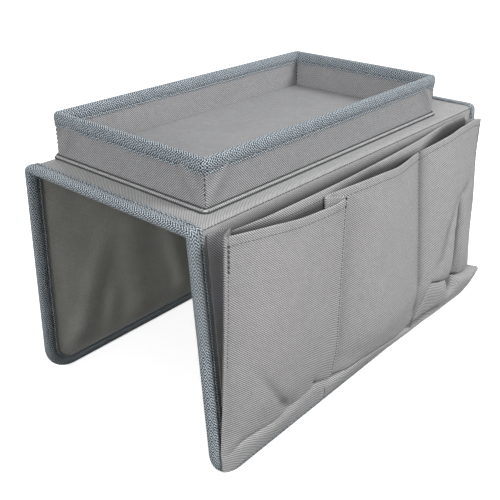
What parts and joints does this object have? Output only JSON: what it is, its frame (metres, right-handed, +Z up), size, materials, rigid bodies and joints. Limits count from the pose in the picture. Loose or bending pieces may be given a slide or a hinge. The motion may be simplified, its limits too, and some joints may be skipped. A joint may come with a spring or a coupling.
{
  "type": "armrest organizer",
  "caption": "Saddle of covered boards that hangs over a sofa arm, with a walled tray on top, gusseted pockets on the front flap and a magazine pocket behind.",
  "frame": {"origin": "on the floor, at the middle of the box around the part", "axes": "+X along the armrest, to the right seen from the pocket side; -Y is the pocket side; +Z up"},
  "size_m": [0.36, 0.2114, 0.2153],
  "materials": {
    "grey_cloth": "twill weave, matt",
    "pocket_cloth": "twill weave, matt",
    "tray_cloth": "twill weave, matt",
    "lining_cloth": "plain weave, matt",
    "binding_tape": "coarse woven tape, matt",
    "board": "plain stiffener board"
  },
  "bodies": {
    "saddle_top": {"top_cover": "grey_cloth", "top_board": "board", "top_lining": "lining_cloth", "top_binding_left": "binding_tape", "top_binding_right": "binding_tape", "front_fold_strip": "grey_cloth", "rear_fold_strip": "grey_cloth", "front_bend_binding_left": "binding_tape", "front_bend_binding_right": "binding_tape", "rear_bend_binding_left": "binding_tape", "rear_bend_binding_right": "binding_tape", "tray_front_outer_cloth": "tray_cloth", "tray_rear_outer_cloth": "tray_cloth", "tray_left_outer_cloth": "tray_cloth", "tray_right_outer_cloth": "tray_cloth", "tray_front_board": "board", "tray_rear_board": "board", "tray_left_board": "board", "tray_right_board": "board", "tray_front_inner_cloth": "tray_cloth", "tray_rear_inner_cloth": "tray_cloth", "tray_left_inner_cloth": "tray_cloth", "tray_right_inner_cloth": "tray_cloth", "tray_floor_board": "board", "tray_floor_cloth": "tray_cloth", "tray_rim_binding": "binding_tape", "tray_base_welt": "tray_cloth"},
    "front_flap": {"front_flap_cover": "grey_cloth", "front_flap_board": "board", "front_flap_lining": "lining_cloth", "front_flap_binding": "binding_tape", "inner_pocket_panel": "pocket_cloth", "scissors_pocket_panel": "pocket_cloth", "pen_pocket_panel": "pocket_cloth", "end_pocket_panel": "pocket_cloth", "pocket_pleat": "pocket_cloth", "left_gusset": "pocket_cloth", "right_gusset": "pocket_cloth"},
    "rear_flap": {"rear_flap_cover": "grey_cloth", "rear_flap_board": "board", "rear_flap_lining": "lining_cloth", "rear_flap_binding": "binding_tape", "magazine_pocket_panel": "pocket_cloth"}
  },
  "joints": [
    {"name": "front_fold", "type": "hinge", "parent": "saddle_top", "child": "front_flap", "pos_m": [0, -0.06913, 0.1768], "axis": [-1, 0, 0], "range_deg": [-30, 84.8]},
    {"name": "rear_fold", "type": "hinge", "parent": "saddle_top", "child": "rear_flap", "pos_m": [0, 0.08587, 0.1768], "axis": [1, 0, 0], "range_deg": [-28, 87]}
  ]
}
